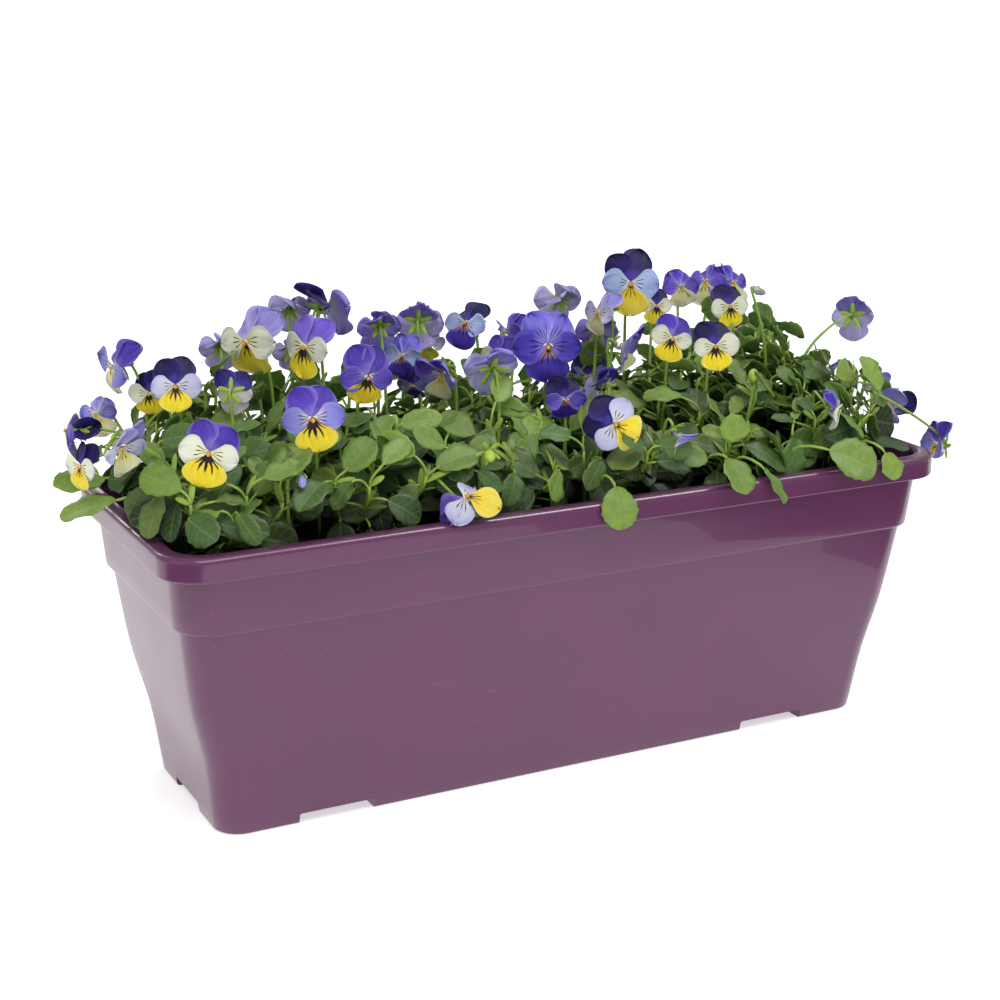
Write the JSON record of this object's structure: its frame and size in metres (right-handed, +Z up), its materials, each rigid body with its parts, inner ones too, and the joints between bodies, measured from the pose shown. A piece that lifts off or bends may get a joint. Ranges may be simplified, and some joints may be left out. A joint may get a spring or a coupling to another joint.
{
  "type": "planted window box",
  "caption": "Oblong glossy plastic window box with a turned-down lip and moulded feet, filled with flowering violas.",
  "frame": {"origin": "on the ground under the middle of the trough", "axes": "+X along the trough's length, front long side towards -Y, +Z up"},
  "size_m": [0.5592, 0.2252, 0.2943],
  "materials": {
    "plum_plastic": "injection-moulded polypropylene, glossy aubergine",
    "potting_soil": "dark crumbly peat-type potting mix, matt",
    "foliage": "living leaves and stems, satin green",
    "petals_violet": "soft petals, matt dark violet with paler edges",
    "petals_lilac": "soft petals, matt lilac",
    "petals_blue": "soft petals, matt deep blue-violet",
    "petals_bicolour": "soft petals, violet above with cream sides and a yellow lip",
    "green_buds": "green buds and seed capsules, satin"
  },
  "bodies": {
    "root": {"window_box": "plum_plastic", "potting_soil": "potting_soil", "plant_1": "foliage", "plant_2": "foliage", "plant_3": "foliage", "plant_4": "foliage", "plant_5": "foliage", "plant_6": "foliage", "leaf_front_1": "foliage", "leaf_front_2": "foliage", "leaf_front_3": "foliage", "leaf_front_4": "foliage", "leaf_front_5": "foliage", "leaf_left_1": "foliage", "leaf_left_2": "foliage", "leaf_back_1": "foliage", "leaf_back_2": "foliage", "bloom_violet_01": "petals_violet", "bloom_bicolour_01": "petals_bicolour", "bloom_lilac_01": "petals_lilac", "bloom_bicolour_02": "petals_bicolour", "bloom_bicolour_03": "petals_bicolour", "bloom_bicolour_04": "petals_bicolour", "bloom_violet_02": "petals_violet", "bloom_bicolour_05": "petals_bicolour", "bloom_lilac_02": "petals_lilac", "bloom_lilac_03": "petals_lilac", "bloom_violet_03": "petals_violet", "bloom_bicolour_06": "petals_bicolour", "bloom_bicolour_07": "petals_bicolour", "bloom_violet_04": "petals_violet", "bloom_violet_05": "petals_violet", "bloom_lilac_04": "petals_lilac", "bloom_blue_01": "petals_blue", "bloom_lilac_05": "petals_lilac", "bloom_violet_06": "petals_violet", "bloom_lilac_06": "petals_lilac", "bloom_bicolour_08": "petals_bicolour", "bloom_blue_02": "petals_blue", "bloom_violet_07": "petals_violet", "bloom_lilac_07": "petals_lilac", "bloom_violet_08": "petals_violet", "bloom_bicolour_09": "petals_bicolour", "bloom_violet_09": "petals_violet", "bloom_lilac_08": "petals_lilac", "bloom_bicolour_10": "petals_bicolour", "bloom_bicolour_11": "petals_bicolour", "bloom_violet_10": "petals_violet", "bloom_violet_11": "petals_violet", "bloom_bicolour_12": "petals_bicolour", "bloom_bicolour_13": "petals_bicolour", "bloom_lilac_09": "petals_lilac", "bloom_violet_12": "petals_violet", "bloom_violet_13": "petals_violet", "bloom_lilac_10": "petals_lilac", "capsule_1": "green_buds", "bud_1": "green_buds", "capsule_2": "green_buds", "bud_2": "green_buds"}
  },
  "joints": []
}
